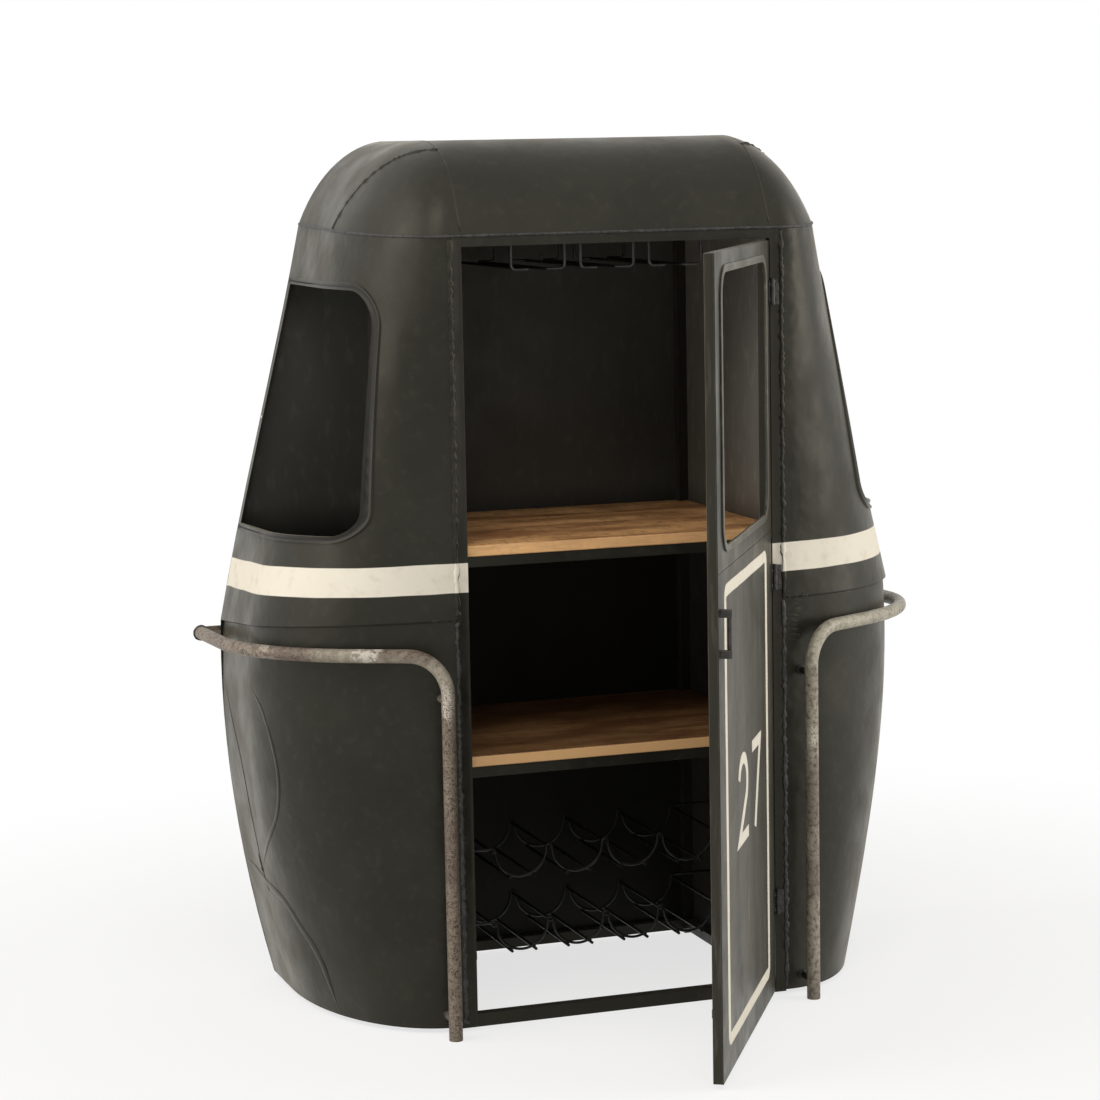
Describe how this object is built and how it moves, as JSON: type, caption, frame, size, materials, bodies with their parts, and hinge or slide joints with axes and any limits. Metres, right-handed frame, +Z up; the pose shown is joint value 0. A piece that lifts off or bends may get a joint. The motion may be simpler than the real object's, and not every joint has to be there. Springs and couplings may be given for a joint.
{
  "type": "bar cabinet",
  "caption": "Freestanding bar cabinet shaped like half a cable-car cabin, with a hinged windowed door, wooden shelves, wine rack, stemware rails and bent handrails.",
  "frame": {"origin": "on the floor, midway across the doorway, in the plane of the door frame's front face", "axes": "+X to the right seen from the front, +Y from the door into the cabinet, +Z up"},
  "size_m": [1.206, 0.9031, 1.418],
  "materials": {
    "black_sheet": "satin",
    "raw_steel": "worn",
    "mango_wood": "satin",
    "black_wire": "satin",
    "dark_hardware": "satin"
  },
  "bodies": {
    "cabinet": {"left_jamb": "black_sheet", "right_jamb": "black_sheet", "head_rail": "black_sheet", "sill_rail": "black_sheet", "left_rear_post": "black_sheet", "right_rear_post": "black_sheet", "rear_top_rail": "black_sheet", "rear_bottom_rail": "black_sheet", "left_top_rail": "black_sheet", "right_top_rail": "black_sheet", "left_bottom_rail": "black_sheet", "right_bottom_rail": "black_sheet", "back_panel": "black_sheet", "left_liner": "black_sheet", "right_liner": "black_sheet", "left_lower_shell": "black_sheet", "right_lower_shell": "black_sheet", "left_upper_shell": "black_sheet", "right_upper_shell": "black_sheet", "roof_centre": "black_sheet", "roof_left_gore": "black_sheet", "roof_right_gore": "black_sheet", "roof_left_side": "black_sheet", "roof_right_side": "black_sheet", "left_window_trim": "black_sheet", "right_window_trim": "black_sheet", "upper_shelf_front_bar": "black_sheet", "lower_shelf_front_bar": "black_sheet", "upper_shelf_bearers": "black_sheet", "lower_shelf_bearers": "black_sheet", "stemware_front_bar": "black_sheet", "stemware_rear_bar": "black_sheet", "upper_shelf_board": "mango_wood", "lower_shelf_board": "mango_wood", "stemware_rails": "black_wire", "lower_rack_front_wire": "black_wire", "lower_rack_rear_wire": "black_wire", "upper_rack_front_wire": "black_wire", "upper_rack_rear_wire": "black_wire", "lower_rack_rods": "black_wire", "upper_rack_rods": "black_wire", "left_handrail": "raw_steel", "right_handrail": "raw_steel", "left_handrail_brackets": "raw_steel", "right_handrail_brackets": "raw_steel", "hinge_frame_leaves": "dark_hardware", "hinge_pins": "dark_hardware", "door_catch": "dark_hardware"},
    "door": {"door_hinge_stile": "black_sheet", "door_latch_stile": "black_sheet", "door_top_rail": "black_sheet", "door_mid_rail": "black_sheet", "door_bottom_rail": "black_sheet", "door_lower_skin": "black_sheet", "door_upper_skin": "black_sheet", "door_window_trim": "black_sheet", "hinge_door_leaves": "dark_hardware", "door_handle_lugs": "dark_hardware", "door_handle_grip": "dark_hardware", "catch_plate": "dark_hardware"}
  },
  "joints": [
    {"name": "door_hinge", "type": "hinge", "parent": "cabinet", "child": "door", "pos_m": [0.262, -0.005, 0.7], "axis": [0, 0, 1], "range_deg": [-58.1, 65]}
  ]
}
